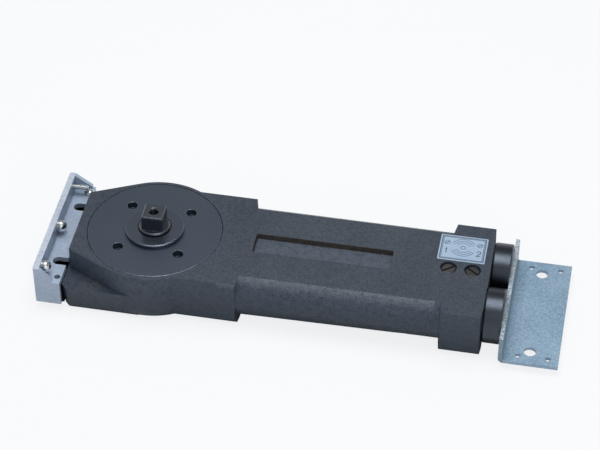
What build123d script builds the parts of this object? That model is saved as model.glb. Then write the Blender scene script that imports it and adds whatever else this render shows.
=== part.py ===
from build123d import *
import os
from math import acos, atan2, cos, hypot, pi, radians, sin, sqrt, tan

os.makedirs("parts", exist_ok=True)

# Floor spring door closer. Millimetres, +Z up, origin on the spindle's axis at the base.
# The two spring barrels run along +X, one each side of the spindle's axis.

# Clearances
run_gap = 0.06            # radial, a shaft or piston that turns or slides in its hole
fit_gap = 0.05            # radial, a fixed piece in its seat
free_gap = 0.5            # between a moving piece and the wall it passes
seat_gap = 0.3            # between pieces that face each other without touching

# Shell: barrels and flat top
barrel_pitch = 42.0
barrel_d = 40.5
barrel_end_d = 37.4       # outside of a barrel at the flange, which it narrows to
flank_d = 36.0            # fuller round along the barrels' outer sides
flank_pitch = 46.6
flank_h = 21.4
bore_d = 29.0
top_h = 37.25
web_base = 7.0            # underside of the web between the barrels
axis_h = barrel_d / 2
barrel_y = barrel_pitch / 2
bore_r = bore_d / 2
flat_half_w = flank_pitch / 2 + sqrt((flank_d / 2) ** 2 - (top_h - flank_h) ** 2)

# Shell: head
boss_d = 94.0
nose_x = 50.7             # upper head's end face, from the spindle
nose_w = 56.0
nose_corner_r = 1.0
ledge_x = 52.6            # lower head's end face, from the spindle
ledge_inset = 0.5         # ledge's side, inside the round head's side
ledge_h = 19.75
ledge_draft = 5.0
ledge_corner = 3.5
boss_edge_r = 8.0
ledge_edge_r = 4.0
boss_r = boss_d / 2
ledge_w = boss_d - 2 * ledge_inset

# Shell: the two square blocks, whose ears stand out past the flat top from root to tip
block_w = 83.4
block_bevel = 4.6         # along the base
head_root_x = 62.6
head_tip_x = 61.4
head_rear_tip_x = 60.1
flange_root_x = 192.3
flange_tip_x = 193.9
flange_end_x = 220.1
end_slope = 0.9           # end face, from its flat middle to the ears' tips
top_edge = 0.4

# Shell: cast recess in the top
recess_start_x = 66.3
recess_end_x = 156.6
recess_w = 17.2
recess_depth = 4.0
recess_corner_r = 1.6
recess_draft = 8.0

# Rack and pinion
module = 1.5
teeth = 12
pressure_angle = 25.0
addendum = 1.3
dedendum = 1.6
backlash = 0.12           # taken off each flank
face_w = 16.0
rack_spaces = 11
rack_back_y = 27.0        # outer flat of the rack bar
rack_end_margin = 1.2
swing_deg = 105.0
pitch_r = module * teeth / 2
tip_r = pitch_r + addendum
root_r = pitch_r - dedendum
rack_pitch = pi * module
travel = pitch_r * radians(swing_deg)
rack_half = rack_spaces * rack_pitch / 2 + rack_end_margin
rack_face_y = pitch_r - addendum
pinion_base = axis_h - face_w / 2
pinion_top = axis_h + face_w / 2

# Chamber in the head
chamber_d = 77.0
chamber_gap = 1.0
chamber_floor = pinion_base - chamber_gap
chamber_top = pinion_top
chamber_end_x = rack_half + travel + free_gap
chamber_half_w = rack_back_y + free_gap

# Cover, gasket and collar
cover_d = 88.4
cover_line = 0.25         # visible gap round the cover
gasket_t = 1.0
gasket_w = 4.6
spanner_pcd = 56.4
spanner_hole_d = 7.0
spanner_hole_depth = 5.0
spanner_holes = 4
cover_base = chamber_top + gasket_t
collar_d = 38.7
collar_proud = 3.25
collar_edge = 0.5
collar_lip_t = 1.1
collar_lip_gap = 0.9      # dark ring between the collar and the spindle
collar_wall = 2.6
collar_top = top_h + collar_proud

# Spindle
neck_d = 20.4
neck_top = 42.3
neck_edge = 0.8
drive_square = 14.0
drive_h = 11.2
drive_corner_d = 18.9
drive_edge = 0.7
drive_hole_d = 5.6
drive_hole_depth = 14.0
lower_journal_d = 13.0
lower_journal_h = 7.2
thrust_washer_t = 0.75
thrust_washer_w = 5.0
drive_top = neck_top + drive_h

# Bearings and lip seal
upper_roller_d = 3.0
upper_rollers = 14
lower_roller_d = 2.5
lower_rollers = 10
cup_t = 1.1
cup_lip_share = 0.4       # lip's reach past the journal, of the roller's diameter
seal_h = 2.6
roller_end_gap = 0.4

# Pistons
piston_start_x = 61.5
piston_len = 24.0
groove_w = 3.6
groove_depth = 2.4
groove_inset = 10.0
valve_cart_d = 8.0
valve_cart_len = 8.0
drain_d = 3.0
drain_inset = 3.6         # cross hole, from the piston's inner face
bore_start_x = piston_start_x - travel - free_gap
piston_end_x = piston_start_x + piston_len
piston_r = bore_r - run_gap

# Springs and their seats
wire_d = 4.2
coil_mean_d = 21.0
coils = 9
coil_steps = 16           # straight lengths in one turn
wire_sides = 8
spring_seat_t = 2.0
spring_seat_hole_d = 12.0
spring_seat_rim = 1.0

# End caps
cap_d = 35.8
cap_len = 11.9
cap_edge = 0.7
cap_spigot_len = 21.0
cap_groove_inset = 5.0    # groove for the ring, from the spigot's inner end
cap_groove_w = 2.6
cap_groove_depth = 1.8
cap_hole_d = 5.2
cap_hole_depth = 13.0
cap_start_x = flange_end_x + seat_gap
cap_end_x = cap_start_x + cap_len
spigot_start_x = cap_start_x - cap_spigot_len
spring_seat_x = spigot_start_x - spring_seat_t

# Valves
closing_valve_x = 193.3
latching_valve_x = 208.8
valve_bore_d = 7.0
valve_sink_d = 11.0
valve_sink_depth = 3.0
valve_head_d = 9.2
valve_head_t = 2.0
valve_head_edge = 0.6
valve_slot_w = 1.5
valve_slot_depth = 1.3
valve_tip = 13.0
valve_tip_d = 1.6
valve_tip_len = 5.0
valve_groove_w = 1.6
valve_groove_depth = 1.0
valve_groove_top = 30.0
closing_slot_deg = 38.0
latching_slot_deg = -35.0
gallery_d = 4.0
gallery_h = 16.0
port_d = 3.0
port_h = 22.0

# Label plate
label_start_x = 184.8
label_end_x = 215.5
label_start_y = 6.5
label_end_y = 30.0
label_t = 0.5
label_corner_r = 0.6

# Bracket at the head end: a folded tray with open slots
tray_start_x = -70.0
tray_proud = 0.6          # tray's side, outside the round head's side
tray_base = 5.4
tray_top = 34.4
tray_wall = 4.0
tray_side_t = 2.6
tray_floor = 23.8
tray_floor_t = 3.8
tray_lip = 26.2           # where the front gusset's slope ends
front_gusset_x = -58.2
rear_gusset_x = -54.6
tray_bend_r = 1.4
tray_slot_w = 7.0
tray_slot_inset = 21.2    # slot's middle, from the tray's side
tray_slot_end_x = -62.6
tray_hole_d = 4.0
tray_hole_x = -55.8
tray_hole_inset = 6.4     # hole's middle, from the tray's side
tray_end_x = -ledge_x - seat_gap
tray_w = boss_d + 2 * tray_proud
tray_slot_y = tray_w / 2 - tray_slot_inset
tray_hole_y = tray_w / 2 - tray_hole_inset

# Screws of the tray
pan_head_d = 8.0
pan_head_t = 6.0
pan_shank_d = 4.9
pan_inset = 8.6           # screw's middle, from the tray's side
pan_h = 29.8
pan_y = tray_w / 2 - pan_inset
adjuster_d = 4.0
adjuster_reach = 10.5     # beyond the end wall's inner face
adjuster_slot_w = 0.8
adjuster_slot_depth = 1.2
height_head_d = 6.4
height_head_t = 2.8
height_shank_len = 12.0
head_rim_share = 0.4      # straight rim under the dome, of the head's height
cross_share = 0.6         # length of the cross, of the head's diameter
cross_w = 1.1
cross_depth = 1.3

# Bracket at the cap end: a bent angle
angle_end_x = 270.5
angle_w = 93.4
angle_base = 4.8
angle_top = 25.7
angle_t = 2.6
angle_bend_r = 3.6
angle_hole_d = 8.0
angle_hole_x = 251.7
angle_hole_inset = 10.7   # hole's middle, from the angle's side
small_hole_d = 3.6
small_hole_start_x = 244.4
small_hole_end_x = 263.6
small_hole_inset = 5.9
angle_hole_y = angle_w / 2 - angle_hole_inset
small_hole_y = angle_w / 2 - small_hole_inset
flat_head_d = 9.6
flat_shank_d = 5.0
flat_shank_len = 12.0
flat_hole_gap = 0.3


def involute_angle(radius):
    """Half the angle that a pinion tooth fills at a radius."""
    base_r = pitch_r * cos(radians(pressure_angle))
    pitch_half = (pi * module / 2 - 2 * backlash) / 2 / pitch_r
    at_pitch = tan(radians(pressure_angle)) - radians(pressure_angle)
    turn = acos(min(1.0, base_r / radius))
    return pitch_half + at_pitch - (tan(turn) - turn)


def flank_points(side, steps=4):
    """Points up one flank of a pinion tooth that stands on +X."""
    base_r = pitch_r * cos(radians(pressure_angle))
    radii = [base_r + (tip_r - base_r) * i / steps for i in range(steps + 1)]
    return [(r * cos(involute_angle(r)), side * r * sin(involute_angle(r))) for r in radii]


def finish(part, name):
    """Names a finished piece and writes it."""
    part.label = name
    export_step(part, f"parts/{name}.step")


def cap_side(name):
    """Side of the spindle's axis that a barrel is on: the front one is at -Y."""
    return -1 if name == "front" else 1


# Shell: forms that are joined later
tangent_turn = atan2(nose_w / 2, -nose_x) - acos(boss_r / hypot(nose_x, nose_w / 2))
tangent_x = boss_r * cos(tangent_turn)
tangent_y = boss_r * sin(tangent_turn)

with BuildPart() as boss_form:
    Cylinder(boss_r, top_h, align=(Align.CENTER, Align.CENTER, Align.MIN))
    fillet(boss_form.edges().group_by(Axis.Z)[0], boss_edge_r)

with BuildPart() as nose_form:
    with BuildSketch(Plane.XY.offset(ledge_h - ledge_corner)):
        with BuildLine():
            Polyline((-nose_x, -nose_w / 2), (-nose_x, nose_w / 2), (tangent_x, tangent_y),
                     (0, tangent_y), (0, -tangent_y), (tangent_x, -tangent_y), close=True)
        make_face()
    extrude(amount=top_h - ledge_h + ledge_corner)
    fillet(nose_form.edges().filter_by(Axis.Z).group_by(Axis.X)[0], nose_corner_r)

with BuildPart() as ledge_form:
    with BuildSketch(Plane.XY.offset(ledge_h)) as ledge_outline:
        with Locations((-ledge_x / 2, 0)):
            Rectangle(ledge_x, ledge_w)
        chamfer(ledge_outline.vertices().group_by(Axis.X)[0], ledge_corner)
    extrude(amount=-ledge_h, taper=ledge_draft)
    fillet(ledge_form.edges().group_by(Axis.Z)[0], ledge_edge_r)


def block_form(front, rear):
    """Square block across the barrels, from the places along X of its corners on each side."""
    front_points = list(zip(front, (-flat_half_w, -block_w / 2, -block_w / 2, -flat_half_w)))
    rear_points = list(zip(rear, (flat_half_w, block_w / 2, block_w / 2, flat_half_w)))
    with BuildPart() as form:
        with BuildSketch(Plane.YZ) as section:
            with Locations((0, top_h / 2)):
                Rectangle(block_w, top_h)
            chamfer(section.vertices().group_by(Axis.Y)[0], block_bevel)
        extrude(amount=flange_end_x)
        with BuildSketch():
            with BuildLine():
                Polyline(*front_points, *reversed(rear_points), close=True)
            make_face()
        extrude(amount=top_h, mode=Mode.INTERSECT)
    return form.part


def barrel_form(side):
    """Outside of one barrel, which narrows from the head to the flange."""
    with BuildPart() as form:
        for x, diameter in ((head_tip_x, barrel_d), (flange_tip_x, barrel_end_d)):
            with BuildSketch(Plane.YZ.offset(x)):
                with Locations((side * barrel_y, axis_h)):
                    Circle(diameter / 2)
        loft()
        with BuildSketch():
            Rectangle(2 * flange_end_x, block_w)
        extrude(amount=top_h, mode=Mode.INTERSECT)
    return form.part


with BuildPart() as body_casting:
    with BuildSketch(Plane.YZ):
        with Locations((-flank_pitch / 2, flank_h), (flank_pitch / 2, flank_h)):
            Circle(flank_d / 2)
        with Locations((0, (top_h + web_base) / 2)):
            Rectangle(barrel_pitch, top_h - web_base)
        with Locations((0, top_h / 2)):
            Rectangle(block_w, top_h, mode=Mode.INTERSECT)
    extrude(amount=flange_end_x - free_gap)
    add(barrel_form(-1))
    add(barrel_form(1))
    add(boss_form.part)
    add(nose_form.part)
    add(ledge_form.part)
    add(block_form((0, 0, head_tip_x, head_root_x), (0, 0, head_rear_tip_x, head_root_x)))
    flange_corners = (flange_root_x, flange_tip_x, flange_end_x - end_slope, flange_end_x)
    add(block_form(flange_corners, flange_corners))
    rim = body_casting.faces().filter_by(Axis.Z).sort_by(Axis.Z)[-1].outer_wire().edges()
    chamfer([edge for edge in rim if abs(abs(edge.center().Y) - flat_half_w) > top_edge], top_edge)
    # cast recess in the flat top
    with BuildSketch(Plane.XY.offset(top_h)):
        with Locations(((recess_start_x + recess_end_x) / 2, 0)):
            RectangleRounded(recess_end_x - recess_start_x, recess_w, recess_corner_r)
    extrude(amount=-recess_depth, taper=recess_draft, mode=Mode.SUBTRACT)
    # seat of the cover, and the gear chamber under it
    with BuildSketch(Plane.XY.offset(chamber_top)):
        Circle(cover_d / 2 + cover_line)
    extrude(amount=top_h - chamber_top, mode=Mode.SUBTRACT)
    with BuildSketch(Plane.XY.offset(chamber_floor)):
        Circle(chamber_d / 2)
        with Locations((-chamber_end_x / 2, 0)):
            Rectangle(chamber_end_x, 2 * chamber_half_w)
    extrude(amount=chamber_top - chamber_floor, mode=Mode.SUBTRACT)
    # pocket of the lower bearing
    with BuildSketch(Plane.XY.offset(chamber_floor)):
        Circle(lower_journal_d / 2 + run_gap * 2 + lower_roller_d + cup_t + fit_gap)
    extrude(amount=-lower_journal_h, mode=Mode.SUBTRACT)
    # barrels' bores, and the way from each into the chamber
    with BuildSketch(Plane.YZ.offset(bore_start_x)):
        with Locations((-barrel_y, axis_h), (barrel_y, axis_h)):
            Circle(bore_r)
    extrude(amount=flange_end_x - bore_start_x, mode=Mode.SUBTRACT)
    way_w = chamber_half_w - (rack_face_y - free_gap)
    with BuildSketch(Plane.YZ):
        with Locations((-(chamber_half_w - way_w / 2), axis_h), (chamber_half_w - way_w / 2, axis_h)):
            Rectangle(way_w, face_w)
    extrude(amount=bore_start_x + free_gap, mode=Mode.SUBTRACT)
    # valve bores, their sinks, the oil gallery and the ports into the barrels
    with Locations((closing_valve_x, 0, top_h), (latching_valve_x, 0, top_h)):
        CounterBoreHole(valve_bore_d / 2, valve_sink_d / 2, valve_sink_depth, depth=top_h - valve_tip)
    with BuildSketch(Plane.YZ.offset(latching_valve_x)):
        with Locations((0, gallery_h)):
            Circle(gallery_d / 2)
    extrude(amount=-latching_valve_x, mode=Mode.SUBTRACT)
    with BuildSketch(Plane.XZ.offset(-barrel_y)):
        with Locations((closing_valve_x, port_h)):
            Circle(port_d / 2)
    extrude(amount=barrel_pitch, mode=Mode.SUBTRACT)
finish(body_casting.part, "body_casting")

# Cover, screwed flush into the head, and the gasket under it
collar_neck_r = neck_d / 2 + run_gap * 2 + upper_roller_d + cup_t + fit_gap + collar_wall
with BuildPart() as cover_disc:
    with BuildSketch(Plane.XY.offset(cover_base)):
        Circle(cover_d / 2)
        Circle(collar_neck_r + fit_gap, mode=Mode.SUBTRACT)
    extrude(amount=top_h - cover_base)
    chamfer(cover_disc.edges().group_by(Axis.Z)[-1].sort_by(SortBy.RADIUS)[-1], top_edge)
    with Locations((0, 0, top_h)):
        with PolarLocations(spanner_pcd / 2, spanner_holes, start_angle=45):
            Hole(spanner_hole_d / 2, depth=spanner_hole_depth)
finish(cover_disc.part, "cover_disc")

with BuildPart() as cover_gasket:
    with BuildSketch(Plane.XY.offset(chamber_top)):
        Circle(cover_d / 2 - seat_gap)
        Circle(cover_d / 2 - seat_gap - gasket_w, mode=Mode.SUBTRACT)
    extrude(amount=gasket_t)
finish(cover_gasket.part, "cover_gasket")

# Collar that holds the upper bearing and the lip seal
collar_seat_r = collar_neck_r - collar_wall
with BuildPart() as bearing_collar:
    with BuildSketch(Plane.XY.offset(cover_base)):
        Circle(collar_neck_r)
    extrude(amount=top_h - cover_base)
    with BuildSketch(Plane.XY.offset(top_h)):
        Circle(collar_d / 2)
    extrude(amount=collar_proud)
    chamfer(bearing_collar.edges().group_by(Axis.Z)[-1], collar_edge)
    with BuildSketch(Plane.XY.offset(cover_base)):
        Circle(collar_seat_r)
    extrude(amount=collar_top - collar_lip_t - cover_base, mode=Mode.SUBTRACT)
    with BuildSketch(Plane.XY.offset(cover_base)):
        Circle(neck_d / 2 + collar_lip_gap)
    extrude(amount=collar_top - cover_base, mode=Mode.SUBTRACT)
finish(bearing_collar.part, "bearing_collar")

seal_top = collar_top - collar_lip_t - fit_gap
with BuildPart() as spindle_seal:
    with BuildSketch(Plane.XY.offset(seal_top - seal_h)):
        Circle(collar_seat_r - fit_gap)
        Circle(neck_d / 2 + run_gap, mode=Mode.SUBTRACT)
    extrude(amount=seal_h)
finish(spindle_seal.part, "spindle_seal")


def bearing_cup(journal_d, roller_d, base, top, name):
    """Drawn cup: a thin sleeve with a lip turned in at each end."""
    inner_r = journal_d / 2 + 2 * run_gap + roller_d
    lip_r = journal_d / 2 + roller_d * cup_lip_share
    with BuildPart() as cup:
        with BuildSketch(Plane.XY.offset(base)):
            Circle(inner_r + cup_t)
            Circle(lip_r, mode=Mode.SUBTRACT)
        extrude(amount=top - base)
        with BuildSketch(Plane.XY.offset(base + cup_t)):
            Circle(inner_r)
        extrude(amount=top - base - 2 * cup_t, mode=Mode.SUBTRACT)
    finish(cup.part, name)


def bearing_rollers(journal_d, roller_d, count, base, top, name):
    """Ring of rollers inside a drawn cup."""
    length = top - base - 2 * cup_t - 2 * roller_end_gap
    with BuildPart() as rollers:
        with BuildSketch(Plane.XY.offset(base + cup_t + roller_end_gap)):
            with PolarLocations(journal_d / 2 + run_gap + roller_d / 2, count):
                Circle(roller_d / 2)
        extrude(amount=length)
    finish(rollers.part, name)


upper_cup_base = cover_base
upper_cup_top = seal_top - seal_h - fit_gap
bearing_cup(neck_d, upper_roller_d, upper_cup_base, upper_cup_top, "upper_bearing_cup")
bearing_rollers(neck_d, upper_roller_d, upper_rollers, upper_cup_base, upper_cup_top, "upper_bearing_rollers")

lower_cup_base = chamber_floor - lower_journal_h
bearing_cup(lower_journal_d, lower_roller_d, lower_cup_base, chamber_floor, "lower_bearing_cup")
bearing_rollers(lower_journal_d, lower_roller_d, lower_rollers, lower_cup_base, chamber_floor,
                "lower_bearing_rollers")

with BuildPart() as thrust_washer:
    with BuildSketch(Plane.XY.offset(chamber_floor)):
        Circle(lower_journal_d / 2 + seat_gap + thrust_washer_w)
        Circle(lower_journal_d / 2 + seat_gap, mode=Mode.SUBTRACT)
    extrude(amount=thrust_washer_t)
finish(thrust_washer.part, "thrust_washer")

# One tooth of the pinion, and one tooth space of a rack
with BuildSketch() as tooth_outline:
    with BuildLine():
        left = flank_points(1)
        right = flank_points(-1)
        Spline(*left)
        ThreePointArc(left[-1], (tip_r, 0), right[-1])
        Spline(*right)
        Polyline(right[0], (root_r / 2, 0), left[0])
    make_face()

with BuildSketch() as space_outline:
    half_tip = rack_pitch / 4 + backlash + addendum * tan(radians(pressure_angle))
    half_root = rack_pitch / 4 + backlash - dedendum * tan(radians(pressure_angle))
    with BuildLine():
        Polyline((-half_tip, rack_face_y), (half_tip, rack_face_y), (half_root, pitch_r + dedendum),
                 (-half_root, pitch_r + dedendum), close=True)
    make_face()

# Spindle: lower journal, pinion, neck and square drive on one shaft
with BuildPart() as spindle:
    with BuildSketch(Plane.XY.offset(lower_cup_base + seat_gap)):
        Circle(lower_journal_d / 2)
    extrude(amount=pinion_base - lower_cup_base - seat_gap)
    with BuildSketch(Plane.XY.offset(pinion_base)):
        Circle(root_r)
        with PolarLocations(0, teeth):
            add(tooth_outline.sketch)
    extrude(amount=face_w)
    with BuildSketch(Plane.XY.offset(pinion_top)):
        Circle(neck_d / 2)
    extrude(amount=neck_top - pinion_top)
    chamfer(spindle.edges().group_by(Axis.Z)[-1], neck_edge)
    with BuildSketch(Plane.XY.offset(neck_top)):
        Rectangle(drive_square, drive_square)
        Circle(drive_corner_d / 2, mode=Mode.INTERSECT)
    extrude(amount=drive_h)
    chamfer(spindle.edges().group_by(Axis.Z)[-1], drive_edge)
    with Locations((0, 0, drive_top)):
        CounterSinkHole(drive_hole_d / 2, drive_hole_d / 2 + drive_edge, depth=drive_hole_depth)
finish(spindle.part, "spindle")


def rack_piston(side):
    """Piston with a toothed bar that reaches past the pinion."""
    bar_w = rack_back_y - rack_face_y
    turn = 180 if side < 0 else 0
    with BuildPart() as piston:
        with BuildSketch(Plane.YZ.offset(-rack_half)):
            with Locations((side * barrel_y, axis_h)):
                Circle(piston_r)
            with Locations((side * (rack_back_y - bar_w / 2), axis_h)):
                Rectangle(bar_w, face_w - 2 * free_gap, mode=Mode.INTERSECT)
        extrude(amount=rack_half + piston_start_x)
        with BuildSketch(Plane.XY.offset(pinion_base)):
            with Locations(Location((0, 0), turn)):
                with GridLocations(rack_pitch, 0, rack_spaces, 1):
                    add(space_outline.sketch)
        extrude(amount=face_w, mode=Mode.SUBTRACT)
        with BuildSketch(Plane.YZ.offset(piston_start_x)):
            with Locations((side * barrel_y, axis_h)):
                Circle(piston_r)
        extrude(amount=piston_len)
        # groove of the seal ring
        with BuildSketch(Plane.YZ.offset(piston_start_x + groove_inset)):
            with Locations((side * barrel_y, axis_h)):
                Circle(bore_r)
                Circle(piston_r - groove_depth, mode=Mode.SUBTRACT)
        extrude(amount=groove_w, mode=Mode.SUBTRACT)
        # seat of the check valve, its drain and the cross hole that the drain meets
        with BuildSketch(Plane.YZ.offset(piston_end_x)):
            with Locations((side * barrel_y, axis_h)):
                Circle(valve_cart_d / 2)
        extrude(amount=-valve_cart_len, mode=Mode.SUBTRACT)
        with BuildSketch(Plane.YZ.offset(piston_end_x)):
            with Locations((side * barrel_y, axis_h)):
                Circle(drain_d / 2)
        extrude(amount=-(piston_len + drain_inset), mode=Mode.SUBTRACT)
        with BuildSketch(Plane.XY.offset(axis_h)):
            with Locations((piston_start_x - drain_inset, side * barrel_y)):
                Circle(drain_d / 2)
        extrude(amount=face_w, mode=Mode.SUBTRACT)
    return piston.part


def ring(side, start_x, width, outer_r, inner_r):
    """Plain ring about a barrel's axis."""
    with BuildPart() as washer:
        with BuildSketch(Plane.YZ.offset(start_x)):
            with Locations((side * barrel_y, axis_h)):
                Circle(outer_r)
                Circle(inner_r, mode=Mode.SUBTRACT)
        extrude(amount=width)
    return washer.part


def compression_spring(side, start_x, end_x):
    """Wire wound about a barrel's axis in short straight lengths, which keep its faces few."""
    height = end_x - start_x - wire_d - 2 * seat_gap
    steps = coils * coil_steps
    with BuildPart() as spring:
        with BuildLine() as coil:
            Polyline(*[(start_x + seat_gap + wire_d / 2 + height * i / steps,
                        side * barrel_y + coil_mean_d / 2 * cos(2 * pi * i / coil_steps),
                        axis_h + coil_mean_d / 2 * sin(2 * pi * i / coil_steps)) for i in range(steps + 1)])
        with BuildSketch(Plane(coil.line @ 0, z_dir=coil.line % 0)):
            RegularPolygon(wire_d / 2, wire_sides)
        sweep(transition=Transition.RIGHT)
    return spring.part


def end_cap(side):
    """Turned plug with a round head, a grooved spigot and a tapped centre."""
    with BuildPart() as cap:
        with BuildSketch(Plane.YZ.offset(cap_start_x)):
            with Locations((side * barrel_y, axis_h)):
                Circle(cap_d / 2)
        extrude(amount=cap_len)
        chamfer(cap.edges().filter_by(GeomType.CIRCLE), cap_edge)
        with BuildSketch(Plane.YZ.offset(spigot_start_x)):
            with Locations((side * barrel_y, axis_h)):
                Circle(bore_r - fit_gap)
        extrude(amount=cap_spigot_len)
        with BuildSketch(Plane.YZ.offset(spigot_start_x + cap_groove_inset)):
            with Locations((side * barrel_y, axis_h)):
                Circle(bore_r)
                Circle(bore_r - fit_gap - cap_groove_depth, mode=Mode.SUBTRACT)
        extrude(amount=cap_groove_w, mode=Mode.SUBTRACT)
        with BuildSketch(Plane.YZ.offset(cap_end_x)):
            with Locations((side * barrel_y, axis_h)):
                Circle(cap_hole_d / 2)
        extrude(amount=-cap_hole_depth, mode=Mode.SUBTRACT)
    return cap.part


for barrel in ("front", "rear"):
    hand = cap_side(barrel)
    finish(rack_piston(hand), f"rack_piston_{barrel}")
    finish(ring(hand, piston_start_x + groove_inset + fit_gap, groove_w - 2 * fit_gap,
                bore_r - fit_gap, piston_r - groove_depth + fit_gap), f"piston_seal_{barrel}")
    finish(ring(hand, piston_end_x - valve_cart_len + fit_gap, valve_cart_len - fit_gap,
                valve_cart_d / 2 - fit_gap, drain_d / 2), f"check_valve_{barrel}")
    finish(compression_spring(hand, piston_end_x, spring_seat_x), f"spring_{barrel}")
    finish(ring(hand, spring_seat_x, spring_seat_t, bore_r - spring_seat_rim, spring_seat_hole_d / 2),
           f"spring_seat_{barrel}")
    finish(end_cap(hand), f"end_cap_{barrel}")
    finish(ring(hand, spigot_start_x + cap_groove_inset + fit_gap, cap_groove_w - 2 * fit_gap,
                bore_r - fit_gap, bore_r - cap_groove_depth), f"end_cap_seal_{barrel}")


def valve_screw(x, slot_deg):
    """Needle valve with a slotted head that sits in its sink."""
    head_top = top_h - valve_sink_depth + valve_head_t + fit_gap
    stem_r = valve_bore_d / 2 - run_gap
    with BuildPart() as valve:
        with BuildSketch(Plane((x, 0, 0), x_dir=(1, 0, 0), z_dir=(0, -1, 0))):
            with BuildLine():
                Polyline((0, valve_tip + seat_gap), (valve_tip_d / 2, valve_tip + seat_gap),
                         (stem_r, valve_tip + valve_tip_len),
                         (stem_r, valve_groove_top - valve_groove_w),
                         (stem_r - valve_groove_depth, valve_groove_top - valve_groove_w),
                         (stem_r - valve_groove_depth, valve_groove_top), (stem_r, valve_groove_top),
                         (stem_r, head_top - valve_head_t), (valve_head_d / 2, head_top - valve_head_t),
                         (valve_head_d / 2, head_top - valve_head_edge),
                         (valve_head_d / 2 - valve_head_edge, head_top), (0, head_top), close=True)
            make_face()
        revolve(axis=Axis((x, 0, 0), (0, 0, 1)))
        with BuildSketch(Plane((x, 0, head_top))):
            Rectangle(valve_sink_d, valve_slot_w, rotation=slot_deg)
        extrude(amount=-valve_slot_depth, mode=Mode.SUBTRACT)
    return valve.part


def valve_ring(x):
    """Seal ring in the groove of a valve's stem."""
    with BuildPart() as seal:
        with BuildSketch(Plane.XY.offset(valve_groove_top - valve_groove_w + fit_gap)):
            with Locations((x, 0)):
                Circle(valve_bore_d / 2 - run_gap)
                Circle(valve_bore_d / 2 - run_gap - valve_groove_depth + fit_gap, mode=Mode.SUBTRACT)
        extrude(amount=valve_groove_w - 2 * fit_gap)
    return seal.part


finish(valve_screw(closing_valve_x, closing_slot_deg), "closing_valve")
finish(valve_ring(closing_valve_x), "closing_valve_seal")
finish(valve_screw(latching_valve_x, latching_slot_deg), "latching_valve")
finish(valve_ring(latching_valve_x), "latching_valve_seal")

with BuildPart() as label_plate:
    with BuildSketch(Plane.XY.offset(top_h)):
        with Locations(((label_start_x + label_end_x) / 2, (label_start_y + label_end_y) / 2)):
            RectangleRounded(label_end_x - label_start_x, label_end_y - label_start_y, label_corner_r)
    extrude(amount=label_t)
finish(label_plate.part, "label_plate")


def tray_side(side, gusset_x):
    """Side wall of the tray, with a gusset that slopes down from the end wall."""
    with BuildPart() as wall:
        with BuildSketch(Plane.XZ.offset(-side * tray_w / 2)):
            with BuildLine():
                Polyline((tray_start_x, tray_base), (tray_end_x, tray_base), (tray_end_x, tray_floor),
                         (gusset_x, tray_floor), (gusset_x, tray_lip), (tray_start_x + tray_wall, tray_top),
                         (tray_start_x, tray_top), close=True)
            make_face()
        extrude(amount=side * tray_side_t)
    return wall.part


tray_len = tray_end_x - tray_start_x
with BuildPart() as pivot_end_bracket:
    with BuildSketch(Plane.YZ.offset(tray_start_x)):
        with Locations((0, (tray_base + tray_top) / 2)):
            Rectangle(tray_w, tray_top - tray_base)
    extrude(amount=tray_wall)
    with BuildSketch(Plane.XY.offset(tray_floor - tray_floor_t)):
        with Locations((tray_start_x + tray_len / 2, 0)):
            Rectangle(tray_len, tray_w)
    extrude(amount=tray_floor_t)
    add(tray_side(-1, front_gusset_x))
    add(tray_side(1, rear_gusset_x))
    fillet(pivot_end_bracket.edges().filter_by(Axis.Z).group_by(Axis.X)[0], tray_bend_r)
    # open slots and the holes for the height screws
    with BuildSketch(Plane.XY.offset(tray_floor)):
        with Locations((0, -tray_slot_y), (0, tray_slot_y)):
            with Locations((tray_slot_end_x + tray_slot_w / 2, 0)):
                Circle(tray_slot_w / 2)
            slot_len = tray_end_x - tray_slot_end_x - tray_slot_w / 2
            with Locations((tray_end_x - slot_len / 2, 0)):
                Rectangle(slot_len, tray_slot_w)
        with Locations((tray_hole_x, -tray_hole_y), (tray_hole_x, tray_hole_y)):
            Circle(tray_hole_d / 2)
    extrude(amount=-tray_floor_t, mode=Mode.SUBTRACT)
    # holes for the screws through the end wall
    with BuildSketch(Plane.YZ.offset(tray_start_x)):
        with Locations((-pan_y, pan_h), (0, pan_h)):
            Circle(pan_shank_d / 2 + fit_gap)
        with Locations((pan_y, pan_h)):
            Circle(adjuster_d / 2 + fit_gap)
    extrude(amount=tray_wall, mode=Mode.SUBTRACT)
finish(pivot_end_bracket.part, "pivot_end_bracket")


def pan_screw(seat, head_d, head_t, shank_d, shank_len):
    """Domed cross-head screw whose head stands on a plane and whose shank goes through it."""
    rim_t = head_t * head_rim_share
    dome_t = head_t - rim_t
    dome_r = ((head_d / 2) ** 2 + dome_t ** 2) / (2 * dome_t)
    with BuildPart() as screw:
        with BuildSketch(Plane(seat.origin, x_dir=seat.x_dir, z_dir=-seat.y_dir)):
            with BuildLine():
                Polyline((0, head_t), (0, -shank_len), (shank_d / 2, -shank_len), (shank_d / 2, 0),
                         (head_d / 2, 0), (head_d / 2, rim_t))
                RadiusArc((head_d / 2, rim_t), (0, head_t), -dome_r)
            make_face()
        revolve(axis=Axis(seat.origin, seat.z_dir))
        with BuildSketch(seat.offset(head_t)):
            Rectangle(head_d * cross_share, cross_w)
            Rectangle(cross_w, head_d * cross_share)
        extrude(amount=-cross_depth, mode=Mode.SUBTRACT)
    return screw.part


with BuildPart() as bracket_screws:
    for y in (-pan_y, 0):
        wall_face = Plane((tray_start_x + tray_wall, y, pan_h), x_dir=(0, 1, 0), z_dir=(1, 0, 0))
        add(pan_screw(wall_face, pan_head_d, pan_head_t, pan_shank_d, tray_wall))
finish(bracket_screws.part, "bracket_screws")

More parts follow.
